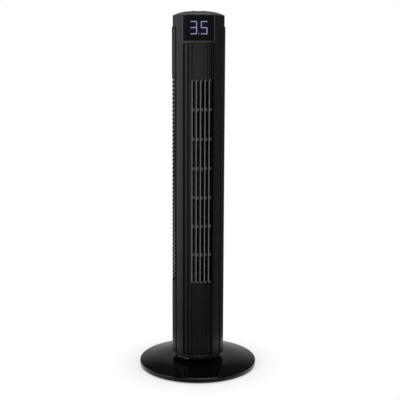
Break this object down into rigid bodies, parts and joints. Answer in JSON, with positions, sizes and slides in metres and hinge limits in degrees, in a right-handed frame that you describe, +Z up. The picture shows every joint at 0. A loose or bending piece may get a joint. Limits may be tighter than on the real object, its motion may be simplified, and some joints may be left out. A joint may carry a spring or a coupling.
{
  "type": "tower fan",
  "caption": "Slim round tower fan on a weighted disc base, with a slotted front outlet, rear intake, lit display and top keys.",
  "frame": {"origin": "on the floor, under the swing axis, at the middle of the base", "axes": "+Z up along the tower, front towards -Y, the viewer's right towards +X"},
  "size_m": [0.2666, 0.2666, 0.7964],
  "materials": {
    "gloss_black": "high gloss",
    "satin_black": "satin, fine grain",
    "panel_black": "satin",
    "duct_black": "matt",
    "grille_grey": "satin",
    "key_grey": "satin",
    "lens": "polished, smoked",
    "digits": "lit from behind",
    "rubber": "matt",
    "plate_steel": "zinc plated",
    "bright_steel": "ground",
    "core_steel": "laminated",
    "bell_aluminium": "cast",
    "screw_zinc": "zinc plated",
    "bearing_bronze": "sintered",
    "winding_copper": "enamelled",
    "gear_white": "natural acetal",
    "board_green": "solder mask",
    "board_brown": "phenolic"
  },
  "bodies": {
    "base": {"base_cover": "gloss_black", "base_plate": "plate_steel", "ballast_ring": "plate_steel", "rubber_feet": "rubber", "base_screws": "screw_zinc", "pivot_post": "plate_steel", "swing_gear": "gear_white", "gear_retainer": "plate_steel", "retainer_screws": "screw_zinc", "thrust_washer": "gear_white", "cord_gland": "panel_black"},
    "tower": {"turntable": "satin_black", "front_housing": "satin_black", "outlet_grille": "grille_grey", "rear_housing": "satin_black", "intake_grille": "panel_black", "top_cap": "satin_black", "control_panel": "panel_black", "display_lens": "lens", "display_digits": "digits", "display_board": "board_green", "control_board": "board_green", "button_switches": "screw_zinc", "air_duct": "duct_black", "duct_tongue": "duct_black", "motor_plate": "plate_steel", "motor_stator": "core_steel", "motor_windings": "winding_copper", "motor_upper_bell": "bell_aluminium", "motor_lower_bell": "bell_aluminium", "motor_bearings": "bearing_bronze", "motor_capacitor": "bell_aluminium", "motor_screws": "screw_zinc", "power_board": "board_brown", "bearing_bracket": "duct_black", "upper_bearing": "bearing_bronze", "swing_motor": "bell_aluminium", "swing_motor_screws": "screw_zinc", "housing_screws": "screw_zinc", "wiring_loom": "duct_black"},
    "impeller": {"impeller": "duct_black", "impeller_stub": "bright_steel", "impeller_hub": "bell_aluminium", "motor_shaft": "bright_steel", "motor_rotor": "core_steel"},
    "swing_pinion": {"swing_pinion": "gear_white", "swing_shaft": "bright_steel"},
    "power_key": {"button_power": "key_grey"},
    "speed_key": {"button_speed": "key_grey"},
    "mode_key": {"button_mode": "key_grey"},
    "swing_key": {"button_swing": "key_grey"},
    "timer_key": {"button_timer": "key_grey"}
  },
  "joints": [
    {"name": "swing", "type": "hinge", "parent": "base", "child": "tower", "pos_m": [0, 0, 0.032], "axis": [0, 0, 1], "range_deg": [-35, 35]},
    {"name": "fan_spin", "type": "hinge", "parent": "tower", "child": "impeller", "pos_m": [0, 0, 0.4], "axis": [0, 0, 1], "continuous": true},
    {"name": "pinion_turn", "type": "hinge", "parent": "tower", "child": "swing_pinion", "pos_m": [0, 0.026, 0.041], "axis": [0, 0, 1], "range_deg": [-120, 120]},
    {"name": "power_press", "type": "slide", "parent": "tower", "child": "power_key", "axis": [0, 0, -1], "range_m": [0, 0.0012], "stiffness_N_per_m": 400, "springref_m": -0.0005},
    {"name": "speed_press", "type": "slide", "parent": "tower", "child": "speed_key", "axis": [0, 0, -1], "range_m": [0, 0.0012], "stiffness_N_per_m": 400, "springref_m": -0.0005},
    {"name": "mode_press", "type": "slide", "parent": "tower", "child": "mode_key", "axis": [0, 0, -1], "range_m": [0, 0.0012], "stiffness_N_per_m": 400, "springref_m": -0.0005},
    {"name": "swing_press", "type": "slide", "parent": "tower", "child": "swing_key", "axis": [0, 0, -1], "range_m": [0, 0.0012], "stiffness_N_per_m": 400, "springref_m": -0.0005},
    {"name": "timer_press", "type": "slide", "parent": "tower", "child": "timer_key", "axis": [0, 0, -1], "range_m": [0, 0.0012], "stiffness_N_per_m": 400, "springref_m": -0.0005}
  ],
  "couplings": [
    {"joint": "pinion_turn", "follows": "swing", "ratio": 3.3333}
  ]
}
